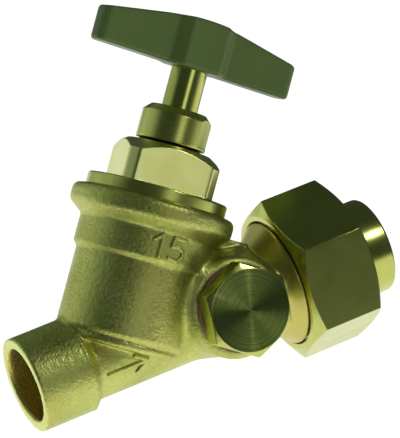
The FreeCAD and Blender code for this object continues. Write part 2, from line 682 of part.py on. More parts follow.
def make_drain():
    washer = plug_body("drain_plug_washer")
    washer_hole = "plug_thread + 2 * thread_clearance"
    tube(washer, washer_hole, "plug_washer_outside", "boss_face", WASHER_FACE)
    plug = plug_body("drain_plug", "plug_angle")
    prism(plug, regular_polygon(6, "plug_flats"), WASHER_FACE, PLUG_FRONT)
    corner_chamfer(plug, "plug_flats", "plug_face", PLUG_FRONT, "plug_chamfer", "+")
    thread_end = "boss_face - plug_thread_length"
    shank = [
        ("0", thread_end),
        ("plug_thread / 2", thread_end, "mouth_round"),
        ("plug_thread / 2", WASHER_FACE),
        ("0", WASHER_FACE),
    ]
    revolve(plug, shank)


make_valve_body()
make_bonnet()
bonnet_gasket = stem_body("bonnet_gasket")
tube(bonnet_gasket, "bonnet_thread + 2 * thread_clearance", "gasket_outside", GASKET_FLOOR, "rim_top")
make_stuffing_box()
make_spindle()
make_disc()
make_handle()
make_union()
make_drain()
doc.recompute()

for item in doc.Objects:
    if "Invalid" in item.State or "Error" in item.State:
        raise RuntimeError(f"{item.Label} ({item.Name}) did not build: {item.State}")
os.makedirs("parts", exist_ok=True)
for piece in doc.findObjects("PartDesign::Body"):
    if piece.Shape.isNull() or not piece.Shape.isValid():
        raise RuntimeError(f"{piece.Label} has no valid shape")
    piece.Shape.exportStep(f"parts/{piece.Label}.step")
    print(piece.Label, len(piece.Shape.Solids), round(piece.Shape.Volume, 2))
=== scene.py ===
import json
import math

import bmesh
import bpy
import numpy as np
from mathutils import Matrix, Vector


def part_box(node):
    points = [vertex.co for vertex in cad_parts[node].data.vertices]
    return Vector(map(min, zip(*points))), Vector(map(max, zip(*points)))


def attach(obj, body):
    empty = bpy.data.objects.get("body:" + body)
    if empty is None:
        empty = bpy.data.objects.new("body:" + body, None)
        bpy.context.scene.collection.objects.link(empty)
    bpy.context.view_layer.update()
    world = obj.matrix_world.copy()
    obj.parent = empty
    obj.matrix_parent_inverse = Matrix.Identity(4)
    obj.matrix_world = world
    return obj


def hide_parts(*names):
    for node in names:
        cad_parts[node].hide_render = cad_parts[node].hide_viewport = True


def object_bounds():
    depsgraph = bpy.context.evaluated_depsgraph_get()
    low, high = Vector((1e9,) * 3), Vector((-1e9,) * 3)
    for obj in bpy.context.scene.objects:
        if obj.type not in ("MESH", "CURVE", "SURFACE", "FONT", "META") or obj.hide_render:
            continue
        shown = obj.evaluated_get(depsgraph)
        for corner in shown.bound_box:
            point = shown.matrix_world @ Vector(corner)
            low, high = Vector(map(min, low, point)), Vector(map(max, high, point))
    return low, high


# Finish of a slanted-seat isolating valve: a brass casting, turned and milled brass, a plastic T handle.
# Shapes are drawn in millimetres along the same three lines as the CAD: the flow, the stem and the plug.

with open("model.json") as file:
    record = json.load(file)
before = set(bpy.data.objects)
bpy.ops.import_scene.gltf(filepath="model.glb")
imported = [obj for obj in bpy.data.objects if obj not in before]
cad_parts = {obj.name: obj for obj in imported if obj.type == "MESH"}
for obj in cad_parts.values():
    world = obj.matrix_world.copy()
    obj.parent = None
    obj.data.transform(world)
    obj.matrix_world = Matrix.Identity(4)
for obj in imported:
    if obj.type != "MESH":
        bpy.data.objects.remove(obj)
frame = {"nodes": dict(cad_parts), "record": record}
cad_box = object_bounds()

MM = 0.001
joints = {joint["name"]: joint for joint in frame["record"]["behaviour"]["joints"]}

# Lines that the pieces are set out from
STEM_ORIGIN = Vector(joints["handle_turn"]["pos_m"])
STEM_AXIS = Vector(joints["handle_turn"]["axis"]).normalized()
PLUG_ORIGIN = Vector(joints["plug_turn"]["pos_m"])
STEM_OFFSET = STEM_ORIGIN.x / MM
PLUG_REACH = PLUG_ORIGIN.x / MM
PLUG_RISE = PLUG_ORIGIN.z / MM


def line_matrix(origin, along, across):
    """Placement of a piece whose own Z runs along a line and whose own X points across it."""
    third = along.cross(across)
    turn = Matrix((across, third, along)).transposed().to_4x4()
    return Matrix.Translation(origin) @ turn


SIDE = Vector((0, 1, 0))
STEM_LINE = line_matrix(STEM_ORIGIN, STEM_AXIS, SIDE.cross(STEM_AXIS))
FLOW_LINE = line_matrix(Vector(), Vector((1, 0, 0)), Vector((0, 0, -1)))
PLUG_LINE = line_matrix(PLUG_ORIGIN, Vector((0, -1, 0)), Vector((1, 0, 0)))


# Outlines

def rounded(corners, steps=4):
    """A closed outline through corners of (x, y) or (x, y, radius), with the rounded ones drawn as arcs."""
    spots = np.array([corner[:2] for corner in corners], float)
    count = len(corners)
    points = []
    for index, corner in enumerate(corners):
        here = spots[index]
        if len(corner) == 2:
            points.append(tuple(here))
            continue
        before = spots[index - 1] - here
        after = spots[(index + 1) % count] - here
        room = min(np.hypot(*before), np.hypot(*after))
        cosine = np.dot(before, after) / max(np.hypot(*before) * np.hypot(*after), 1e-12)
        half = math.acos(min(max(cosine, -1), 1)) / 2
        flat = room < 1e-6 or half < 1e-3 or half > math.pi / 2 - 1e-3
        if flat:
            points += [tuple(here)] * (steps + 1)
            continue
        before = before / np.hypot(*before)
        after = after / np.hypot(*after)
        setback = min(corner[2] / math.tan(half), 0.48 * room)
        radius = setback * math.tan(half)
        middle = (before + after) / np.hypot(*(before + after))
        centre = here + middle * radius / math.sin(half)
        first = here + before * setback - centre
        last = here + after * setback - centre
        start = math.atan2(first[1], first[0])
        sweep = math.atan2(last[1], last[0]) - start
        sweep = (sweep + math.pi) % (2 * math.pi) - math.pi
        for step in range(steps + 1):
            angle = start + sweep * step / steps
            points.append((centre[0] + radius * math.cos(angle), centre[1] + radius * math.sin(angle)))
    return points


def flats_radius(angle, flats, softness=0.12):
    """Distance from the axis to a set of flats of (apothem, direction in degrees), with softened corners."""
    reaches = []
    for apothem, direction in flats:
        slant = math.cos(angle - math.radians(direction))
        if slant > 0.2:
            reaches.append(apothem / slant)
    nearest = min(reaches)
    return nearest - softness * math.log(sum(math.exp((nearest - reach) / softness) for reach in reaches))


def spaced_angles(corners, margin, per_span):
    """Angles once round, with extra ones within a margin of each corner direction in degrees."""
    angles = set()
    corners = sorted(corner % 360 for corner in corners)
    for corner, following in zip(corners, corners[1:] + [corners[0] + 360]):
        start = corner + margin
        finish = following - margin
        for step in range(per_span + 1):
            angles.add(round((start + (finish - start) * step / per_span) % 360, 6))
        for share in (-0.5, -0.2, 0.0, 0.2, 0.5):
            angles.add(round((corner + margin * share) % 360, 6))
    return [math.radians(angle) for angle in sorted(angles)]


def even_angles(count):
    """Angles once round, evenly spaced."""
    return [2 * math.pi * index / count for index in range(count)]


def thread_radius(angle, height, root, crest, pitch):
    """Radius of a rounded screw thread at one angle and height."""
    phase = (height / pitch - angle / (2 * math.pi)) % 1.0
    flank = min(1.0, max(0.0, 2.6 * (0.5 - abs(phase - 0.5)) - 0.15))
    return root + (crest - root) * (3 - 2 * flank) * flank * flank


def thread_outline(angle, heights, steps, root, depth, pitch, run_in, run_out):
    """Points of (radius, height) up a screw thread that fades over a run at each end."""
    start, finish = heights
    points = []
    for step in range(steps + 1):
        height = start + (finish - start) * step / steps
        fade = min(1.0, (height - start) / run_in, (finish - height) / run_out)
        points.append((thread_radius(angle, height, root, root + depth * fade, pitch), height))
    return points


# Meshes

# Points of a turned piece that are closer than this are one, in millimetres
SAME_POINT = 0.002


def finish_mesh(name, mesh, material, body, node):
    """Puts a mesh into the scene as a piece that rides on a body and stands for a CAD node."""
    mesh.materials.append(material)
    for face in mesh.polygons:
        face.use_smooth = True
    piece = bpy.data.objects.new(name, mesh)
    bpy.context.scene.collection.objects.link(piece)
    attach(piece, body)
    if node:
        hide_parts(node)
    return piece


def turned(name, place, angles, outline_at, material, body, node, turn=0.0):
    """A piece swept round a line; outline_at gives its closed (radius, height) outline at each angle."""
    rings = [outline_at(angle) for angle in angles]
    spin = math.radians(turn)
    points = []
    for angle, ring in zip(angles, rings):
        cosine = math.cos(angle + spin)
        sine = math.sin(angle + spin)
        points += [(radius * cosine * MM, radius * sine * MM, height * MM) for radius, height in ring]
    across = len(rings[0])
    faces = []
    for index in range(len(angles)):
        here = index * across
        there = (index + 1) % len(angles) * across
        for step in range(across):
            following = (step + 1) % across
            faces.append((here + step, there + step, there + following, here + following))
    mesh = bpy.data.meshes.new(name)
    mesh.from_pydata(points, [], faces)
    mesh.transform(place)
    net = bmesh.new()
    net.from_mesh(mesh)
    bmesh.ops.remove_doubles(net, verts=net.verts, dist=SAME_POINT * MM)
    bmesh.ops.dissolve_degenerate(net, edges=net.edges, dist=SAME_POINT / 2 * MM)
    bmesh.ops.recalc_face_normals(net, faces=net.faces)
    net.to_mesh(mesh)
    net.free()
    piece = finish_mesh(name, mesh, material, body, node)
    weigh = piece.modifiers.new("Even shading", "WEIGHTED_NORMAL")
    weigh.keep_sharp = False
    weigh.weight = 100
    return piece


def second_finish(piece, material, chosen):
    """Gives the faces that a test picks out a second material."""
    piece.data.materials.append(material)
    for face in piece.data.polygons:
        face.material_index = 1 if chosen(face) else 0


def outline_distance(x, y, points):
    """Signed distance to a closed outline, negative inside."""
    best = np.full(x.shape, np.inf)
    inside = np.zeros(x.shape, bool)
    for (ax, ay), (bx, by) in zip(points, points[1:] + points[:1]):
        ex = bx - ax
        ey = by - ay
        length = ex * ex + ey * ey
        if length < 1e-12:
            continue
        along = np.clip(((x - ax) * ex + (y - ay) * ey) / length, 0, 1)
        best = np.minimum(best, (x - ax - along * ex) ** 2 + (y - ay - along * ey) ** 2)
        if ey:
            crossing = ax + ex * (y - ay) / ey
            inside ^= ((ay > y) != (by > y)) & (x < crossing)
    return np.where(inside, -1, 1) * np.sqrt(best)


def blended(a, b, width):
    """Union of two distances with a fillet of about this width."""
    share = np.clip(0.5 + 0.5 * (b - a) / width, 0, 1)
    return b + (a - b) * share - width * share * (1 - share)


def cut_from(a, b, width):
    """The first distance with the second taken out, its edge softened over this width."""
    return -blended(-a, b, width)


def surface_mesh(name, distance, low, high, step):
    """Quads on the zero surface of a distance field inside a box, in millimetres."""
    axes = [np.arange(a - step, b + 2 * step, step) for a, b in zip(low, high)]
    field = distance(*np.meshgrid(*axes, indexing="ij"))
    inside = field < 0
    cells = tuple(size - 1 for size in field.shape)
    shifts = [(i, j, k) for i in (0, 1) for j in (0, 1) for k in (0, 1)]

    def corner(values, shift):
        return values[tuple(slice(s, s + n) for s, n in zip(shift, cells))]

    total = sum(corner(inside, shift).astype(np.int8) for shift in shifts)
    mixed = (total > 0) & (total < 8)
    spots = np.argwhere(mixed)
    values = {shift: corner(field, shift)[mixed] for shift in shifts}
    sums = np.zeros(spots.shape)
    hits = np.zeros(len(spots))
    for first in shifts:
        for axis in range(3):
            if first[axis]:
                continue
            second = tuple(1 if index == axis else value for index, value in enumerate(first))
            a = values[first]
            b = values[second]
            crosses = (a < 0) != (b < 0)
            share = np.where(crosses, a / np.where(crosses, a - b, 1), 0)
            point = np.tile(np.array(first, float), (len(spots), 1))
            point[:, axis] += share
            sums += np.where(crosses[:, None], point, 0)
            hits += crosses
    origin = np.array([axis[0] for axis in axes])
    points = origin + (spots + sums / hits[:, None]) * step
    reach = 0.05 * step
    for repeat in range(3):
        there = distance(*points.T)
        slope = np.empty(points.shape)
        for axis in range(3):
            ahead = points.copy()
            behind = points.copy()
            ahead[:, axis] += reach
            behind[:, axis] -= reach
            slope[:, axis] = (distance(*ahead.T) - distance(*behind.T)) / (2 * reach)
        size = np.maximum((slope ** 2).sum(axis=1), 0.2)
        points -= np.clip(there / size, -0.4 * step, 0.4 * step)[:, None] * slope
    index = np.full(cells, -1)
    index[mixed] = np.arange(len(spots))
    faces = []
    for axis in range(3):
        one, two = [other for other in range(3) if other != axis]
        start = [slice(1, n) for n in cells]
        start[axis] = slice(0, cells[axis])
        ahead = list(start)
        ahead[axis] = slice(1, cells[axis] + 1)
        a = inside[tuple(start)]
        b = inside[tuple(ahead)]
        changed = np.argwhere(a != b)
        flipped = a[a != b]
        base = changed + np.array([0 if other == axis else 1 for other in range(3)])
        ring = []
        for back_one, back_two in ((1, 1), (0, 1), (0, 0), (1, 0)):
            cell = base.copy()
            cell[:, one] -= back_one
            cell[:, two] -= back_two
            ring.append(index[tuple(cell.T)])
        quads = np.stack(ring, axis=1)
        turn_over = flipped if axis == 1 else ~flipped
        quads[turn_over] = quads[turn_over][:, ::-1]
        faces.append(quads)
    mesh = bpy.data.meshes.new(name)
    mesh.from_pydata((points * MM).tolist(), [], np.concatenate(faces).tolist())
    net = bmesh.new()
    net.from_mesh(mesh)
    bmesh.ops.remove_doubles(net, verts=net.verts, dist=0.2 * step * MM)
    net.to_mesh(mesh)
    net.free()
    return mesh


# Materials

def feed(tree, place, value):
    """Links an input to a socket, or sets it to a plain value."""
    if isinstance(value, bpy.types.NodeSocket):
        tree.links.new(value, place)
    else:
        place.default_value = value


def add_node(tree, kind, inputs=None, **settings):
    """A node with its settings and its inputs."""
    made = tree.nodes.new(kind)
    for name, value in settings.items():
        setattr(made, name, value)
    for name, value in (inputs or {}).items():
        feed(tree, made.inputs[name], value)
    return made


def maths(tree, operation, *values, clamp=False):
    """One operation on sockets and plain values."""
    made = add_node(tree, "ShaderNodeMath", dict(enumerate(values)), operation=operation, use_clamp=clamp)
    return made.outputs[0]


def vector_maths(tree, operation, *values, result="Vector", **settings):
    """One operation on vectors."""
    made = add_node(tree, "ShaderNodeVectorMath", dict(enumerate(values)), operation=operation, **settings)
    return made.outputs[result]


def mapped(tree, value, limits, results=(0.0, 1.0), **settings):
    """A value carried from between two limits to between two results."""
    ends = zip(("From Min", "From Max", "To Min", "To Max"), (*limits, *results))
    made = add_node(tree, "ShaderNodeMapRange", {"Value": value, **dict(ends)}, **settings)
    return made.outputs["Result"]


def surface_place(tree):
    """Places on the piece, in metres from its origin."""
    return add_node(tree, "ShaderNodeTexCoord").outputs["Object"]


def new_group(name, inputs, outputs):
    """An empty shader node group with float inputs of (name, value) and float outputs."""
    tree = bpy.data.node_groups.new(name, "ShaderNodeTree")
    for label, value in inputs:
        socket = tree.interface.new_socket(name=label, in_out="INPUT", socket_type="NodeSocketFloat")
        socket.default_value = value
    for label in outputs:
        tree.interface.new_socket(name=label, in_out="OUTPUT", socket_type="NodeSocketFloat")
    return tree, tree.nodes.new("NodeGroupInput"), tree.nodes.new("NodeGroupOutput")


def spread(tree, value, low, high):
    """Stretches the middle of a noise value over a range."""
    return mapped(tree, value, (0.3, 0.7), (low, high))


def casting_skin():
    """Grain of a blasted casting: fine grain, shallow pits, broad stains and patches of tarnish."""
    tree, given, result = new_group(
        "Casting skin",
        [("Grain", 2200.0), ("Pits", 1000.0), ("Stains", 110.0)],
        ["Height", "Fleck", "Stain", "Tarnish"],
    )
    where = surface_place(tree)

    def noise(scale, detail, seed):
        inputs = {"Vector": where, "W": seed, "Scale": scale, "Detail": detail}
        return add_node(tree, "ShaderNodeTexNoise", inputs, noise_dimensions="4D").outputs[0]

    grain = noise(given.outputs["Grain"], 3.0, 0.0)
    pits = noise(given.outputs["Pits"], 2.0, 3.0)
    stain = noise(given.outputs["Stains"], 4.0, 5.0)
    tarnish = noise(given.outputs["Stains"], 3.0, 9.0)
    tree.links.new(maths(tree, "ADD", grain, pits), result.inputs["Height"])
    tree.links.new(spread(tree, grain, 0.0, 1.0), result.inputs["Fleck"])
    tree.links.new(spread(tree, stain, 0.0, 1.0), result.inputs["Stain"])
    tree.links.new(spread(tree, tarnish, -0.6, 1.0), result.inputs["Tarnish"])
    return tree


def tool_marks():
    """Fine lines left by a cutting tool, laid across a distance in metres."""
    tree, given, result = new_group(
        "Tool marks",
        [("Along", 0.0), ("Lines", 9000.0)],
        ["Height", "Shade"],
    )
    fine = maths(tree, "MULTIPLY", given.outputs["Along"], given.outputs["Lines"])
    inputs = {"W": fine, "Scale": 1.0, "Detail": 3.0}
    lines = add_node(tree, "ShaderNodeTexNoise", inputs, noise_dimensions="1D").outputs[0]
    tree.links.new(lines, result.inputs["Height"])
    tree.links.new(spread(tree, lines, 0.0, 1.0), result.inputs["Shade"])
    return tree


# How far an edge stands out before its lighter edge colour starts, and where it is full; the lighter edges
# are partly rubbing and partly painted highlight
EDGE_SHARPNESS = (0.56, 0.66)


def wear_and_edge_sheen():
    """Soft smudges, and brighter edges that are partly rubbed and partly a painted highlight."""
    tree, given, result = new_group(
        "Wear and edge sheen",
        [("Smudges", 140.0), ("Edge", 0.5)],
        ["Smudge", "Worn edge and sheen"],
    )
    where = surface_place(tree)
    inputs = {"Vector": where, "Scale": given.outputs["Smudges"], "Detail": 5.0, "Roughness": 0.6}
    smudges = add_node(tree, "ShaderNodeTexNoise", inputs).outputs[0]
    tree.links.new(spread(tree, smudges, 0.0, 1.0), result.inputs["Smudge"])
    pointed = add_node(tree, "ShaderNodeNewGeometry").outputs["Pointiness"]
    edge = mapped(tree, pointed, EDGE_SHARPNESS)
    tree.links.new(maths(tree, "MULTIPLY", edge, given.outputs["Edge"]), result.inputs["Worn edge and sheen"])
    return tree


CASTING_SKIN = casting_skin()
TOOL_MARKS = tool_marks()
WEAR_AND_EDGE_SHEEN = wear_and_edge_sheen()


def place_group(tree, group, inputs=None):
    """A shared effect in a material, with the material's own values."""
    return add_node(tree, "ShaderNodeGroup", inputs, node_tree=group)


def new_material(name, **sockets):
    """A material with its Principled BSDF; plain values are set on the shader's own sockets."""
    material = bpy.data.materials.new(name)
    material.use_nodes = True
    shader = material.node_tree.nodes["Principled BSDF"]
    for label, value in sockets.items():
        shader.inputs[label.replace("_", " ")].default_value = value
    return material, material.node_tree, shader


# Places of the two colours and of the result among a Mix node's sockets
MIX_COLOURS = (6, 7)
MIXED_COLOUR = 2


def colour_mix(tree, mask, first, second):
    """A colour that goes from the first to the second as the mask goes from 0 to 1."""
    made = add_node(tree, "ShaderNodeMix", {0: mask}, data_type="RGBA")
    for place, value in zip(MIX_COLOURS, (first, second)):
        feed(tree, made.inputs[place], (*value, 1) if isinstance(value, tuple) else value)
    return made.outputs[MIXED_COLOUR]


def add_bump(tree, shader, height, strength, depth):
    """Relief of a depth in millimetres."""
    bump = add_node(tree, "ShaderNodeBump", {"Height": height, "Strength": strength, "Distance": depth * MM})
    tree.links.new(bump.outputs["Normal"], shader.inputs["Normal"])


def line_distance(tree, line):
    """Sockets with the distance along a line and out from it, in metres, at each point of the surface."""
    where = surface_place(tree)
    origin = line.to_translation()
    axis = line.to_3x3().col[2]
    moved = vector_maths(tree, "SUBTRACT", where, origin)
    along = vector_maths(tree, "DOT_PRODUCT", moved, axis, result="Value")
    shadow = add_node(tree, "ShaderNodeVectorMath", {0: axis, "Scale": along}, operation="SCALE").outputs[0]
    outward = vector_maths(tree, "SUBTRACT", moved, shadow)
    out = vector_maths(tree, "LENGTH", outward, result="Value")
    return along, out


# Colours, as linear red, green and blue
BRASS = (0.62, 0.65, 0.18)
BRASS_DARK = (0.50, 0.535, 0.125)
# The faced end of the plug gets darker brass than the rest of it: painted shade, standing in for the dark
# room that the face mirrors
PLUG_SHADE_DARK = (0.33, 0.42, 0.11)
PLUG_SHADE_LIGHT = (0.42, 0.51, 0.14)
CAST_LIGHT = (0.67, 0.715, 0.215)
CAST_DARK = (0.465, 0.51, 0.12)
BRASS_BRIGHT = (0.80, 0.83, 0.27)
BRASS_PALE = (0.92, 0.94, 0.38)
BRASS_BROWN = (0.60, 0.50, 0.13)
OLIVE = (0.147, 0.222, 0.058)
OLIVE_DARK = (0.120, 0.184, 0.047)
OLIVE_WORN_AND_LIT = (0.20, 0.27, 0.12)
ZINC = (0.62, 0.63, 0.62)
ZINC_DARK = (0.42, 0.43, 0.44)
BROWN_FIBRE = ((0.22, 0.12, 0.075), (0.36, 0.21, 0.14))
RED_FIBRE = ((0.20, 0.045, 0.02), (0.30, 0.09, 0.05))
BLACK_RUBBER = ((0.012, 0.012, 0.012), (0.03, 0.03, 0.03))
WHITE_PACKING = ((0.62, 0.61, 0.56), (0.80, 0.79, 0.75))


def share_of(tree, mask, share):
    """A weaker copy of a mask."""
    return maths(tree, "MULTIPLY", mask, share, clamp=True)


def cast_brass(name, dark, light, rough, uneven, depth, tarnish=0.4, bore=None, shoulder=None):
    """Blasted casting, browner in patches and in its bore, and turned smooth past a shoulder on the flow."""
    material, tree, shader = new_material(name, Metallic=1.0)
    skin = place_group(tree, CASTING_SKIN)
    wear_and_sheen = place_group(tree, WEAR_AND_EDGE_SHEEN, {"Edge": 0.5})
    fleck = skin.outputs["Fleck"]
    height = skin.outputs["Height"]
    if bore:
        along, out = line_distance(tree, FLOW_LINE)
        as_cast = mapped(tree, along, ((shoulder - 1) * MM, shoulder * MM), (1.0, 0.0))
        fleck = maths(tree, "MULTIPLY", fleck, as_cast)
        height = maths(tree, "MULTIPLY", height, as_cast)
    base = colour_mix(tree, skin.outputs["Stain"], dark, light)
    base = colour_mix(tree, share_of(tree, fleck, 0.3), base, dark)
    base = colour_mix(tree, share_of(tree, skin.outputs["Tarnish"], tarnish), base, BRASS_BROWN)
    # Brighter edges: partly rubbing, partly painted highlight
    base = colour_mix(tree, wear_and_sheen.outputs["Worn edge and sheen"], base, BRASS_BRIGHT)
    if bore:
        in_bore = maths(tree, "LESS_THAN", out, bore * MM)
        on_shoulder = share_of(tree, maths(tree, "SUBTRACT", 1.0, as_cast), 0.7)
        base = colour_mix(tree, maths(tree, "MAXIMUM", in_bore, on_shoulder), base, BRASS_BROWN)
    tree.links.new(base, shader.inputs["Base Color"])
    tree.links.new(spread(tree, fleck, rough - uneven, rough + uneven), shader.inputs["Roughness"])
    add_bump(tree, shader, height, 0.5, depth)
    return material


def cut_brass(name, marked_along, rough, lines, strength, tones=(BRASS_DARK, BRASS), faced=None):
    """Machined brass with fine marks; a faced end about an axis gets the fan of light that its rings give."""
    material, tree, shader = new_material(name, Metallic=1.0)
    marks = place_group(tree, TOOL_MARKS, {"Along": marked_along(tree), "Lines": lines})
    wear_and_sheen = place_group(tree, WEAR_AND_EDGE_SHEEN, {"Edge": 0.5})
    base = colour_mix(tree, wear_and_sheen.outputs["Smudge"], *tones)
    # Brighter edges: partly rubbing, partly painted highlight
    base = colour_mix(tree, wear_and_sheen.outputs["Worn edge and sheen"], base, BRASS_BRIGHT)
    tree.links.new(base, shader.inputs["Base Color"])
    finish = spread(tree, marks.outputs["Shade"], rough - 0.02, rough + 0.03)
    tree.links.new(finish, shader.inputs["Roughness"])
    add_bump(tree, shader, marks.outputs["Height"], strength, 0.02)
    if faced:
        shader.inputs["Anisotropic"].default_value = 1.0
        shader.inputs["Anisotropic Rotation"].default_value = 0.25
        rings = add_node(tree, "ShaderNodeTangent", direction_type="RADIAL", axis=faced)
        tree.links.new(rings.outputs["Tangent"], shader.inputs["Tangent"])
    return material


# How much faster the marks of a lathe follow each other over an end than up a side
RING_SHARE = 1.7


def turned_round(line):
    """Marks of a lathe: round the sides of a piece and in rings over its ends."""

    def marked_along(tree):
        along, out = line_distance(tree, line)
        return maths(tree, "MULTIPLY_ADD", out, RING_SHARE, along)

    return marked_along


# Union nut, from its axis to a flat
NUT_FLAT = 15.0


def drawn_along_flow(tree):
    """Marks of a drawn hexagon bar: straight along the flow, told apart by their angle round it."""
    where = surface_place(tree)
    place = add_node(tree, "ShaderNodeSeparateXYZ", {"Vector": where})
    angle = maths(tree, "ARCTAN2", place.outputs["Y"], place.outputs["Z"])
    return maths(tree, "MULTIPLY", angle, NUT_FLAT * MM)


def moulded_plastic():
    """Satin plastic, a little paler on its edges: partly rubbed by hands, partly a painted highlight for the
    light that the edges catch.
    """
    material, tree, shader = new_material("Olive handle plastic", Specular_IOR_Level=0.35)
    skin = place_group(tree, CASTING_SKIN, {"Grain": 5200.0, "Pits": 2400.0, "Stains": 60.0})
    wear_and_sheen = place_group(tree, WEAR_AND_EDGE_SHEEN, {"Edge": 0.6, "Smudges": 90.0})
    base = colour_mix(tree, skin.outputs["Stain"], OLIVE_DARK, OLIVE)
    # Paler edges: partly rubbing, partly painted highlight
    worn_and_lit = colour_mix(tree, wear_and_sheen.outputs["Worn edge and sheen"], base, OLIVE_WORN_AND_LIT)
    tree.links.new(worn_and_lit, shader.inputs["Base Color"])
    tree.links.new(spread(tree, wear_and_sheen.outputs["Smudge"], 0.34, 0.46), shader.inputs["Roughness"])
    add_bump(tree, shader, skin.outputs["Height"], 0.25, 0.015)
    return material


def pressed_sheet(name, dark, light, rough, grain):
    """Fibre, rubber or packing: a fine mottled sheet."""
    material, tree, shader = new_material(name)
    skin = place_group(tree, CASTING_SKIN, {"Grain": grain, "Pits": grain / 3, "Stains": grain / 12})
    base = colour_mix(tree, skin.outputs["Fleck"], dark, light)
    tree.links.new(base, shader.inputs["Base Color"])
    finish = spread(tree, skin.outputs["Stain"], rough - 0.08, rough + 0.08)
    tree.links.new(finish, shader.inputs["Roughness"])
    add_bump(tree, shader, skin.outputs["Height"], 0.4, 0.04)
    return material


def plated_steel():
    """Dull zinc on the clip and the screw."""
    material, tree, shader = new_material("Zinc plated steel", Metallic=1.0)
    skin = place_group(tree, CASTING_SKIN, {"Grain": 3000.0})
    base = colour_mix(tree, skin.outputs["Stain"], ZINC_DARK, ZINC)
    tree.links.new(base, shader.inputs["Base Color"])
    tree.links.new(spread(tree, skin.outputs["Fleck"], 0.25, 0.4), shader.inputs["Roughness"])
    add_bump(tree, shader, skin.outputs["Height"], 0.2, 0.01)
    return material


ROUND_STEM = turned_round(STEM_LINE)
ROUND_FLOW = turned_round(FLOW_LINE)
ROUND_PLUG = turned_round(PLUG_LINE)

BODY_BRASS = cast_brass("Cast body brass", CAST_DARK, CAST_LIGHT, rough=0.44, uneven=0.08, depth=0.2,
                        bore=7.8, shoulder=53.0)
MOUTH_BRASS = cast_brass("Faced mouth brass", BRASS_BRIGHT, BRASS_PALE, rough=0.45, uneven=0.03, depth=0.01,
                         tarnish=0.1)
# Paler brass tones on the bonnet square than on the body: painted light, standing in for the light that its
# flats catch
BONNET_BRASS = cast_brass("Blasted bonnet brass, painted light", BRASS_BRIGHT, BRASS_PALE, rough=0.30, uneven=0.006,
                          depth=0.001, tarnish=0.2)
COLLAR_BRASS = cut_brass("Turned collar brass", ROUND_STEM, rough=0.30, lines=7000.0, strength=0.05)
GLAND_BRASS = cut_brass("Turned gland brass", ROUND_STEM, rough=0.28, lines=9000.0, strength=0.06)
STEM_BRASS = cut_brass("Polished stem brass", ROUND_STEM, rough=0.20, lines=14000.0, strength=0.06)
NUT_BRASS = cut_brass("Drawn nut brass", drawn_along_flow, rough=0.17, lines=9000.0, strength=0.0003)
NUT_CHAMFER = cut_brass("Turned nut brass", ROUND_FLOW, rough=0.24, lines=9000.0, strength=0.03)
THREAD_BRASS = cut_brass("Cut thread brass", ROUND_FLOW, rough=0.28, lines=9000.0, strength=0.06)
TAIL_BRASS = cut_brass("Polished tail brass", ROUND_FLOW, rough=0.20, lines=9000.0, strength=0.05)
PLUG_BRASS = cut_brass("Turned plug brass", ROUND_PLUG, rough=0.22, lines=7000.0, strength=0.05)
# Darker tones on the plug face: painted shade
PLUG_FACE = cut_brass("Faced plug brass, painted shade", ROUND_PLUG, rough=0.18, lines=1800.0, strength=0.03,
                      tones=(PLUG_SHADE_DARK, PLUG_SHADE_LIGHT), faced="Y")
HANDLE_PLASTIC = moulded_plastic()
PLUG_FIBRE = pressed_sheet("Brown plug fibre", *BROWN_FIBRE, rough=0.7, grain=2600.0)
SEAL_FIBRE = pressed_sheet("Red seal fibre", *RED_FIBRE, rough=0.75, grain=2600.0)
SEAL_RUBBER = pressed_sheet("Black disc rubber", *BLACK_RUBBER, rough=0.6, grain=2000.0)
PACKING = pressed_sheet("White packing", *WHITE_PACKING, rough=0.55, grain=1800.0)
STEEL = plated_steel()

KEPT_NODES = {
    "bonnet_gasket": SEAL_FIBRE,
    "packing_washer": GLAND_BRASS,
    "packing_ring_lower": PACKING,
    "packing_ring_upper": PACKING,
    "gland_ring": GLAND_BRASS,
    "disc_holder": GLAND_BRASS,
    "disc_washer": SEAL_RUBBER,
    "disc_nut": GLAND_BRASS,
    "disc_clip": STEEL,
    "handle_screw": STEEL,
    "union_gasket": SEAL_FIBRE,
}
for node, material in KEPT_NODES.items():
    kept = frame["nodes"][node]
    for place in kept.material_slots:
        place.material = material
    weld = kept.modifiers.new("Weld", "WELD")
    weld.merge_threshold = 0.001 * MM
    bevel = kept.modifiers.new("Soft edges", "BEVEL")
    bevel.limit_method = "ANGLE"
    bevel.angle_limit = math.radians(35)
    bevel.width = 0.12 * MM
    bevel.segments = 2
    bevel.harden_normals = True


# Cast body: the flow line, the slanted barrel and the plug boss run into each other with cast fillets

UNION_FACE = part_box("union_gasket")[0].x / MM
RIM_TOP = 30.6
RIM_R = 16.7
BARREL_R = 12.9
BAND_R = 13.75
TUBE_R = 8.25
SOCKET_R = 9.8
NECK_R = 11.0
GROOVE_R = 9.6
SHOULDER_R = 13.0
THREAD_CORE_R = 12.1
INLET_R = 6.0
OUTLET_R = 6.5
PIPE_R = 7.55
PIPE_STOP = 11.0
CHAMBER_R = 10.4
PLUG_HOLE_R = 6.6
BOSS_R = 10.4
BOSS_FACE = 11.6
# A depth past every axis, so that an outline covers its axis too
DEEP = -20.0

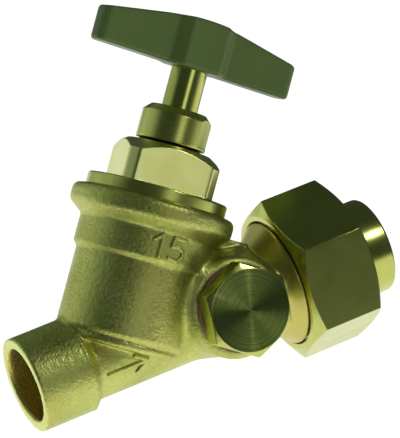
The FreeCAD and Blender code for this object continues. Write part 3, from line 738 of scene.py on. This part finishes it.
FLOW_OUTLINE = [
    (0.0, DEEP), (0.0, SOCKET_R, 0.3), (10.5, SOCKET_R, 0.3), (10.9, 9.72, 0.2), (11.3, 9.95, 0.3),
    (11.8, 9.5, 0.3), (13.1, TUBE_R, 0.6), (40.5, TUBE_R, 4.0), (46.8, NECK_R, 2.0), (51.6, NECK_R, 0.6),
    (52.4, GROOVE_R, 0.3), (53.4, GROOVE_R, 0.5), (57.3, SHOULDER_R, 0.25), (57.9, SHOULDER_R, 0.15),
    (58.3, THREAD_CORE_R), (UNION_FACE, THREAD_CORE_R, 0.5), (UNION_FACE, DEEP),
]
BARREL_OUTLINE = [
    (0.4, DEEP), (0.4, 12.3, 0.7), (1.6, 12.45, 0.2), (1.95, 12.05, 0.2), (2.3, 12.4, 0.2),
    (3.0, BARREL_R, 0.3), (18.1, BARREL_R, 0.4), (19.0, BAND_R, 0.4), (24.7, BAND_R, 0.8), (26.9, RIM_R, 1.6),
    (RIM_TOP, RIM_R, 1.4), (RIM_TOP, DEEP),
]
BOSS_OUTLINE = [(0.0, DEEP), (BOSS_FACE, DEEP), (BOSS_FACE, BOSS_R, 1.5), (0.0, BOSS_R)]
INLET_BORE = [
    (-2.0, DEEP), (-2.0, 8.4), (0.0, 7.75), (0.7, PIPE_R), (PIPE_STOP, PIPE_R), (PIPE_STOP, INLET_R),
    (25.3, INLET_R), (25.3, DEEP),
]
CHAMBER = [
    (0.0, DEEP), (0.0, INLET_R), (7.0, INLET_R), (7.0, CHAMBER_R), (23.5, CHAMBER_R), (23.5, 11.5),
    (29.1, 11.5), (29.1, 13.0), (32.0, 13.0), (32.0, DEEP),
]
OUTLET_BORE = [(31.8, DEEP), (31.8, OUTLET_R), (66.0, OUTLET_R), (66.0, DEEP)]
PLUG_HOLE = [(0.0, DEEP), (0.0, PLUG_HOLE_R), (13.0, PLUG_HOLE_R), (13.0, DEEP)]

# Seal lug: a flat ear that runs from the rim down to the outlet neck
LUG_FOOT = 25.1
LUG_TOP = 27.3
LUG_REACH = 21.3
LUG_HALF_WIDTH = 2.6

# Fillets between the cast forms, and the breaking of the edges that are cut in them
BARREL_FILLET = 0.9
BOSS_FILLET = 2.8
LUG_FILLET = 0.4
BORE_EDGE = 0.3
CHAMBER_EDGE = 0.2

# Mesh sizes of the cast and moulded pieces
BODY_STEP = 0.40
MARK_STEP = 0.16
HANDLE_STEP = 0.32


def stem_distances(x, z):
    """Distances up the stem and across it, in the plane that it leans in."""
    up_stem = (x - STEM_OFFSET) * STEM_AXIS.x + z * STEM_AXIS.z
    across_stem = (x - STEM_OFFSET) * STEM_AXIS.z - z * STEM_AXIS.x
    return up_stem, across_stem


def body_distance(x, y, z):
    """Signed distance to the casting in millimetres."""
    from_flow = np.hypot(y, z)
    up_stem, across_stem = stem_distances(x, z)
    from_stem = np.hypot(across_stem, y)
    from_plug = np.hypot(x - PLUG_REACH, z - PLUG_RISE)
    flow = outline_distance(x, from_flow, rounded(FLOW_OUTLINE, 3))
    barrel = outline_distance(up_stem, from_stem, rounded(BARREL_OUTLINE, 3))
    boss = outline_distance(-y, from_plug, rounded(BOSS_OUTLINE, 3))
    lug = np.maximum(LUG_FOOT - up_stem, up_stem - LUG_TOP)
    lug = np.maximum(lug, np.maximum(-across_stem, across_stem - LUG_REACH))
    lug = np.maximum(lug, np.abs(y) - LUG_HALF_WIDTH)
    solid = blended(flow, barrel, BARREL_FILLET)
    solid = blended(solid, boss, BOSS_FILLET)
    solid = blended(solid, lug, LUG_FILLET)
    solid = cut_from(solid, outline_distance(x, from_flow, INLET_BORE), BORE_EDGE)
    solid = cut_from(solid, outline_distance(up_stem, from_stem, CHAMBER), CHAMBER_EDGE)
    solid = cut_from(solid, outline_distance(x, from_flow, OUTLET_BORE), BORE_EDGE)
    return cut_from(solid, outline_distance(-y, from_plug, PLUG_HOLE), BORE_EDGE)


body_low, body_high = (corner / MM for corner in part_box("body"))
body_mesh = surface_mesh("body_casting", body_distance, body_low, body_high, BODY_STEP)
body = finish_mesh("body_casting", body_mesh, BODY_BRASS, "valve_group", "body")
second_finish(body, MOUTH_BRASS, lambda face: face.center.x < 0.2 * MM and face.normal.x < -0.8)


# Cast marks: the pipe size on the band and a flow arrow on the lower tube, as rounded strokes

SIZE_STROKES = [
    [(-3.4, 1.1), (-2.0, 2.2), (-2.0, -2.2)],
    [(3.2, 2.2), (0.6, 2.2), (0.4, 0.4), (1.9, 0.6), (3.0, -0.1), (3.2, -1.1), (2.2, -2.2), (0.3, -1.9)],
]
ARROW_STROKES = [
    [(14.8, 0.0), (23.4, 0.0)],
    [(20.9, 1.7), (23.4, 0.0), (20.9, -1.7)],
]
STROKE_HALF = 0.46
SIZE_HEIGHT = 21.8
ARROW_HEIGHT = -2.7


def stroke_distance(u, v, strokes):
    """Distance to the nearest of some polylines."""
    best = np.full(u.shape, np.inf)
    for stroke in strokes:
        for (ax, ay), (bx, by) in zip(stroke, stroke[1:]):
            ex = bx - ax
            ey = by - ay
            along = np.clip(((u - ax) * ex + (v - ay) * ey) / (ex * ex + ey * ey), 0, 1)
            best = np.minimum(best, np.hypot(u - ax - along * ex, v - ay - along * ey))
    return best


def size_mark_distance(x, y, z):
    """Signed distance to the number on the band."""
    up_stem, across_stem = stem_distances(x, z)
    aside = stroke_distance(across_stem, up_stem - SIZE_HEIGHT, SIZE_STROKES)
    proud = np.hypot(across_stem, y) - BAND_R
    return np.hypot(aside, proud) - STROKE_HALF


def arrow_mark_distance(x, y, z):
    """Signed distance to the arrow on the lower tube."""
    aside = stroke_distance(x, z - ARROW_HEIGHT, ARROW_STROKES)
    proud = np.hypot(y, z) - TUBE_R
    return np.hypot(aside, proud) - STROKE_HALF


for name, distance, low, high in (
    ("size_mark", size_mark_distance, (27.5, -14.4, 13.0), (38.0, -12.4, 22.8)),
    ("flow_mark", arrow_mark_distance, (14.2, -8.8, -5.0), (24.0, -6.3, -0.4)),
):
    mark_mesh = surface_mesh(name, distance, low, high, MARK_STEP)
    finish_mesh(name, mark_mesh, BODY_BRASS, "valve_group", None)


# Union thread on the body, as a screwed sleeve on its core

UNION_PITCH = 1.814
UNION_CREST = 13.1
UNION_ROOT = 12.05
UNION_START = 58.2
UNION_FINISH = UNION_FACE - 0.6
SLEEVE_R = 11.6


def union_thread_outline(angle):
    screw = thread_outline(angle, (UNION_START, UNION_FINISH), 64, UNION_ROOT, UNION_CREST - UNION_ROOT,
                           UNION_PITCH, run_in=0.5, run_out=0.8)
    return [(SLEEVE_R, UNION_START)] + screw + [(SLEEVE_R, UNION_FINISH)]


turned("union_thread", FLOW_LINE, even_angles(120), union_thread_outline, THREAD_BRASS,
       "valve_group", None)


# Bonnet: collar and spanner square with cut corners

BONNET_FLATS = [(9.5, 90 * side) for side in range(4)] + [(12.16, 90 * side + 45) for side in range(4)]
BONNET_CORNERS = [90 * side + lean for side in range(4) for lean in (39.0, 51.0)]
BONNET_FOOT = 23.6
BONNET_TOP = 41.8
BONNET_SCREW_R = 11.35
BONNET_BORE_R = 5.15
STUFFING_R = 6.0
STUFFING_FLOOR = 33.5
COLLAR_R = 14.4
COLLAR_TOP = 33.2
SQUARE_FACE_R = 8.5
SQUARE_CHAMFER = 0.617


def bonnet_outline(angle):
    reach = flats_radius(angle, BONNET_FLATS)
    fall = (reach - SQUARE_FACE_R) * SQUARE_CHAMFER
    return rounded([
        (BONNET_BORE_R, BONNET_FOOT), (BONNET_SCREW_R, BONNET_FOOT), (BONNET_SCREW_R, RIM_TOP),
        (COLLAR_R, RIM_TOP, 0.3), (COLLAR_R, COLLAR_TOP, 0.5), (reach, COLLAR_TOP, 0.3),
        (reach, BONNET_TOP - fall, 0.35), (SQUARE_FACE_R, BONNET_TOP, 0.5), (STUFFING_R, BONNET_TOP),
        (STUFFING_R, STUFFING_FLOOR), (BONNET_BORE_R, STUFFING_FLOOR),
    ])


def on_collar(face):
    height = (face.center - STEM_ORIGIN).dot(STEM_AXIS) / MM
    return height < COLLAR_TOP + 0.1


bonnet_angles = spaced_angles(BONNET_CORNERS, margin=3.0, per_span=10)
bonnet = turned("bonnet_square", STEM_LINE, bonnet_angles, bonnet_outline, BONNET_BRASS,
                "valve_group", "bonnet", turn=-9.0)
second_finish(bonnet, COLLAR_BRASS, on_collar)


# Gland nut: round, with two spanner flats

GLAND_R = 7.15
GLAND_FLAT = 6.5
GLAND_FLAT_EDGE = math.degrees(math.acos(GLAND_FLAT / GLAND_R))
GLAND_CORNERS = [side + lean * GLAND_FLAT_EDGE for side in (0, 180) for lean in (-1, 1)]
GLAND_BORE_R = 3.8
GLAND_SCREW_R = 5.85
GLAND_NECK_R = 6.3
GLAND_FACE_R = 5.7
GLAND_FOOT = 39.1
GLAND_BAND = 43.1
GLAND_TOP = 49.6


def gland_outline(angle):
    reach = min(GLAND_R, GLAND_FLAT / max(abs(math.cos(angle)), 0.2))
    return rounded([
        (GLAND_BORE_R, GLAND_FOOT), (GLAND_SCREW_R, GLAND_FOOT), (GLAND_SCREW_R, BONNET_TOP),
        (GLAND_NECK_R, 41.85), (GLAND_NECK_R, 42.3), (GLAND_R, 42.45, 0.15), (GLAND_R, GLAND_BAND, 0.2),
        (reach, GLAND_BAND), (reach, GLAND_TOP - (reach - GLAND_FACE_R), 0.25),
        (GLAND_FACE_R, GLAND_TOP, 0.3), (GLAND_BORE_R, GLAND_TOP, 0.15),
    ])


gland_angles = spaced_angles(GLAND_CORNERS, margin=2.0, per_span=22)
turned("gland_turning", STEM_LINE, gland_angles, gland_outline, GLAND_BRASS,
       "valve_group", "gland_nut", turn=-42.0)


# Spindle: polished stem with its drive square, which the handle sits on

DRIVE_FLATS = [(2.7, 90 * side) for side in range(4)]
DRIVE_TOP = 64.0
HANDLE_BASE = 58.0
HANDLE_TURN = 7.0
STEM_R = 3.7
LIFT_SCREW_R = 5.0
LIFT_SCREW_FOOT = 24.6
LIFT_SCREW_TOP = 33.4
TIP_R = 3.1
TIP_FOOT = 17.4


def spindle_outline(angle):
    square = flats_radius(angle, DRIVE_FLATS, 0.08)
    return rounded([
        (0.0, TIP_FOOT), (TIP_R, TIP_FOOT, 0.2), (TIP_R, LIFT_SCREW_FOOT),
        (LIFT_SCREW_R, LIFT_SCREW_FOOT, 0.4), (LIFT_SCREW_R, LIFT_SCREW_TOP), (STEM_R, LIFT_SCREW_TOP),
        (STEM_R, HANDLE_BASE, 0.15), (square, HANDLE_BASE), (square, DRIVE_TOP, 0.2), (0.0, DRIVE_TOP),
    ])


stem_angles = spaced_angles([90 * side + 45 for side in range(4)], margin=4.0, per_span=20)
turned("spindle_stem", STEM_LINE, stem_angles, spindle_outline, STEM_BRASS,
       "handle_group", "spindle", turn=HANDLE_TURN)


# Union nut and tail

HEXAGON_CORNERS = [60 * side for side in range(6)]
NUT_FLATS = [(NUT_FLAT, 60 * side + 30) for side in range(6)]
NUT_START = 57.8
NUT_END = 73.6
NUT_FACE_R = 14.4
NUT_SLOPE = 0.514
NUT_MOUTH_R = 13.45
NUT_THREAD_R = 13.25
NUT_LIP_R = 10.15
NUT_LIP = 70.1


def nut_outline(angle):
    reach = flats_radius(angle, NUT_FLATS, 0.02)
    fall = (reach - NUT_FACE_R) * NUT_SLOPE
    return rounded([
        (NUT_MOUTH_R, NUT_START, 0.1), (NUT_FACE_R, NUT_START, 0.25), (reach, NUT_START + fall, 0.35),
        (reach, NUT_END - fall, 0.35), (NUT_FACE_R, NUT_END, 0.3), (NUT_LIP_R, NUT_END, 0.25),
        (NUT_LIP_R, NUT_LIP), (NUT_THREAD_R, NUT_LIP), (NUT_THREAD_R, 58.1, 0.05),
    ])


nut_angles = spaced_angles(HEXAGON_CORNERS, margin=0.6, per_span=12)
nut = turned("union_hexagon", FLOW_LINE, nut_angles, nut_outline, NUT_BRASS,
             "nut_group", "union_nut", turn=3.8)
second_finish(nut, NUT_CHAMFER, lambda face: abs(face.normal.x) > 0.2)

TAIL_START = 67.2
TAIL_END = 80.4
TAIL_R = 10.0
TAIL_STOP = 69.4
FLANGE_R = 12.6
FLANGE_END = 70.0


def tail_outline(angle):
    return rounded([
        (OUTLET_R, TAIL_START), (FLANGE_R, TAIL_START, 0.2), (FLANGE_R, FLANGE_END, 0.2),
        (TAIL_R, FLANGE_END), (TAIL_R, TAIL_END, 0.7), (PIPE_R, TAIL_END, 0.35), (PIPE_R, TAIL_STOP),
        (OUTLET_R, TAIL_STOP),
    ])


turned("union_tailpiece", FLOW_LINE, even_angles(144), tail_outline, TAIL_BRASS,
       "tail_group", "union_tail")


# Drain plug with its screwed shank, and its washer

PLUG_FLATS = [(8.5, 60 * side + 30) for side in range(6)]
PLUG_PITCH = 1.337
PLUG_CORE_R = 5.75
PLUG_THREAD_DEPTH = 0.7
PLUG_TIP = 6.2
PLUG_NECK = 12.3
PLUG_SEAT = 12.9
PLUG_TOP = 17.5
PLUG_FACE_R = 8.3
PLUG_SLOPE = 0.374
WASHER_R = 8.95


def plug_outline(angle):
    reach = flats_radius(angle, PLUG_FLATS, 0.08)
    fall = (reach - PLUG_FACE_R) * PLUG_SLOPE
    screw = thread_outline(angle, (PLUG_TIP, PLUG_NECK), 48, PLUG_CORE_R, PLUG_THREAD_DEPTH, PLUG_PITCH,
                           run_in=0.9, run_out=0.4)
    head = rounded([
        (0.0, PLUG_SEAT), (PLUG_CORE_R, PLUG_SEAT), (reach, PLUG_SEAT, 0.2), (reach, PLUG_TOP - fall, 0.3),
        (PLUG_FACE_R, PLUG_TOP, 0.3), (0.0, PLUG_TOP),
    ])
    return [(0.0, PLUG_TIP)] + screw + head[1:]


plug_angles = spaced_angles(HEXAGON_CORNERS, margin=3.0, per_span=12)
plug = turned("drain_plug_hexagon", PLUG_LINE, plug_angles, plug_outline, PLUG_BRASS,
              "plug_group", "drain_plug", turn=24.5)
second_finish(plug, PLUG_FACE, lambda face: face.normal.y < -0.99)


def plug_washer_outline(angle):
    reach = WASHER_R + 0.05 * math.sin(3 * angle)
    return rounded([
        (PLUG_HOLE_R, BOSS_FACE), (reach, BOSS_FACE, 0.35), (reach, PLUG_SEAT, 0.35),
        (PLUG_HOLE_R, PLUG_SEAT),
    ])


turned("drain_plug_ring", PLUG_LINE, even_angles(120), plug_washer_outline, PLUG_FIBRE,
       "seal_group", "drain_plug_washer")


# Handle: a moulded T bar with a thicker hub

HANDLE_QUARTER = [(23.0, 2.6, 1.8), (6.7, 2.6, 1.2), (4.2, 4.75, 1.0)]
HANDLE_PLAN = [
    *[(-x, -y, r) for x, y, r in HANDLE_QUARTER],
    *[(x, -y, r) for x, y, r in reversed(HANDLE_QUARTER)],
    *HANDLE_QUARTER,
    *[(-x, y, r) for x, y, r in reversed(HANDLE_QUARTER)],
]
ROOF = [(-30.0, -5.0), (-30.0, 5.75), (0.0, 11.1, 55.0), (30.0, 5.75), (30.0, -5.0)]
EDGE_ROUND = 0.7
DRIVE_HALF = 2.8
DRIVE_DEPTH = 6.1
SCREW_HOLE_R = 2.1
SCREW_HEAD_R = 3.6
SCREW_SEAT = 7.5


def handle_distance(along, across, height):
    """Signed distance to the T bar, from the middle of its underside."""
    plan = outline_distance(along, across, rounded(HANDLE_PLAN, 4)) + EDGE_ROUND
    roof = np.maximum(outline_distance(along, height, rounded(ROOF, 12)), -height) + EDGE_ROUND
    outside = np.hypot(np.maximum(plan, 0), np.maximum(roof, 0))
    solid = outside + np.minimum(np.maximum(plan, roof), 0) - EDGE_ROUND
    from_stem = np.hypot(along, across)
    drive = np.maximum(np.maximum(np.abs(along), np.abs(across)) - DRIVE_HALF, height - DRIVE_DEPTH)
    counterbore = np.maximum(from_stem - SCREW_HEAD_R, SCREW_SEAT - height)
    solid = cut_from(solid, drive, 0.15)
    solid = cut_from(solid, from_stem - SCREW_HOLE_R, 0.1)
    return cut_from(solid, counterbore, 0.4)


handle_low = (-23.2, -5.0, -0.2)
handle_high = (23.2, 5.0, 10.6)
handle_mesh = surface_mesh("handle_moulding", handle_distance, handle_low, handle_high, HANDLE_STEP)
handle_spin = Matrix.Rotation(math.radians(HANDLE_TURN), 4, "Z")
handle_mesh.transform(STEM_LINE @ handle_spin @ Matrix.Translation((0, 0, HANDLE_BASE * MM)))
finish_mesh("handle_moulding", handle_mesh, HANDLE_PLASTIC, "handle_group", "handle")


# Floor, light and camera

FLOOR_GLOW = 0.90
FLOOR_HALF = 3.0
SQUARE = ((-1, -1), (1, -1), (1, 1), (-1, 1))

# White paper that glows by itself and takes the object's shadow
paper_sockets = {"Base_Color": (0.9, 0.9, 0.9, 1), "Emission_Color": (1, 1, 1, 1), "Roughness": 0.9}
paper_material = new_material("White paper floor", Emission_Strength=FLOOR_GLOW, **paper_sockets)[0]
floor_level = cad_box[0].z - 0.2 * MM
floor_mesh = bpy.data.meshes.new("floor")
floor_corners = [(x * FLOOR_HALF, y * FLOOR_HALF, floor_level) for x, y in SQUARE]
floor_mesh.from_pydata(floor_corners, [], [(0, 1, 2, 3)])
floor_mesh.materials.append(paper_material)
floor = bpy.data.objects.new("floor", floor_mesh)
bpy.context.scene.collection.objects.link(floor)
# The metal sees this paper as the white sheet in the world, so the floor itself stands aside for those rays
floor.visible_diffuse = False
floor.visible_glossy = False
floor.visible_transmission = False
floor.visible_shadow = False


def aim(azimuth, elevation):
    """Unit direction by its turn from +Y towards +X and its rise, in degrees."""
    turn = math.radians(azimuth)
    rise = math.radians(elevation)
    return Vector((math.sin(turn) * math.cos(rise), math.cos(turn) * math.cos(rise), math.sin(rise)))


# Sides of the studio: direction, half-angles in degrees where each is full and where it ends, brightness
SHEET = (
    ("white paper below", aim(0, -90), 59, 69, 1.0),
    ("white paper behind", aim(-5, -22), 24, 36, 1.0),
)
WALLS = (
    ("pale wall on the left", aim(-46, 3), 14, 35, 0.95),
    ("dim corner above it", aim(-42, 38), 20, 55, 0.45),
    ("white card in front", aim(176, 3), 6, 12, 1.2),
)
ROOM_LEVEL = 0.055
ROOM_TONE = (0.76, 1.0, 0.90)


def brightest(tree, direction, sides, level):
    """The brightest of some sides of the studio in each direction, over a ground level."""
    glow = None
    for label, towards, full, end, bright in sides:
        facing = vector_maths(tree, "DOT_PRODUCT", direction, towards, result="Value", label=label)
        edges = (math.cos(math.radians(end)), math.cos(math.radians(full)))
        lit = mapped(tree, facing, edges, (level, bright), interpolation_type="SMOOTHSTEP")
        if glow is None:
            glow = lit
        else:
            glow = maths(tree, "MAXIMUM", glow, lit)
    return glow


def studio_world():
    """White paper below and behind, a pale wall and a card, and a darker room above and in front."""
    world = bpy.data.worlds.new("Studio")
    world.use_nodes = True
    bpy.context.scene.world = world
    tree = world.node_tree
    tree.nodes.clear()
    direction = add_node(tree, "ShaderNodeTexCoord").outputs["Generated"]
    glow = brightest(tree, direction, SHEET + WALLS, ROOM_LEVEL)
    tone = colour_mix(tree, glow, ROOM_TONE, (1, 1, 1))
    room = add_node(tree, "ShaderNodeBackground", {"Color": tone, "Strength": glow})
    paper = add_node(tree, "ShaderNodeBackground", {"Color": (1, 1, 1, 1), "Strength": 1.0})
    # The camera has white paper all round, and metal shows that paper as far as the sheet goes
    path = add_node(tree, "ShaderNodeLightPath")
    mirrored = maths(tree, "MAXIMUM", path.outputs["Is Glossy Ray"], path.outputs["Is Transmission Ray"])
    sheet = maths(tree, "MULTIPLY", mirrored, brightest(tree, direction, SHEET, 0.0))
    seen = maths(tree, "MAXIMUM", path.outputs["Is Camera Ray"], sheet)
    either = add_node(tree, "ShaderNodeMixShader", {0: seen, 1: room.outputs[0], 2: paper.outputs[0]})
    add_node(tree, "ShaderNodeOutputWorld", {"Surface": either.outputs[0]})


studio_world()


def soft_lamp(name, towards, distance, size, watts):
    """A round soft lamp that looks at the middle of the object from a direction."""
    lamp = bpy.data.lights.new(name, "AREA")
    lamp.shape = "DISK"
    lamp.size = size
    lamp.energy = watts
    holder = bpy.data.objects.new(name, lamp)
    holder.location = (cad_box[0] + cad_box[1]) / 2 + towards * distance
    holder.rotation_euler = (-towards).to_track_quat("-Z", "Y").to_euler()
    bpy.context.scene.collection.objects.link(holder)


soft_lamp("key_lamp", aim(142, 27), distance=0.7, size=0.10, watts=0.75)

CAMERA_AZIMUTH = math.radians(-20.95)
CAMERA_ELEVATION = math.radians(10.77)
CAMERA_ROLL = math.radians(-17.52)
CAMERA_PLACE = Vector((-0.1753, -0.5780, 0.1360))
camera_data = bpy.data.cameras.new("camera")
camera_data.sensor_width = 36.0
camera_data.lens = 256.5
camera_data.clip_start = 0.01
camera = bpy.data.objects.new("camera", camera_data)
look = Matrix.Rotation(CAMERA_AZIMUTH, 4, "Z") @ Matrix.Rotation(math.pi / 2 - CAMERA_ELEVATION, 4, "X")
camera.matrix_world = Matrix.Translation(CAMERA_PLACE) @ look @ Matrix.Rotation(CAMERA_ROLL, 4, "Z")
bpy.context.scene.collection.objects.link(camera)
bpy.context.scene.camera = camera
bpy.context.scene.view_settings.view_transform = "Standard"
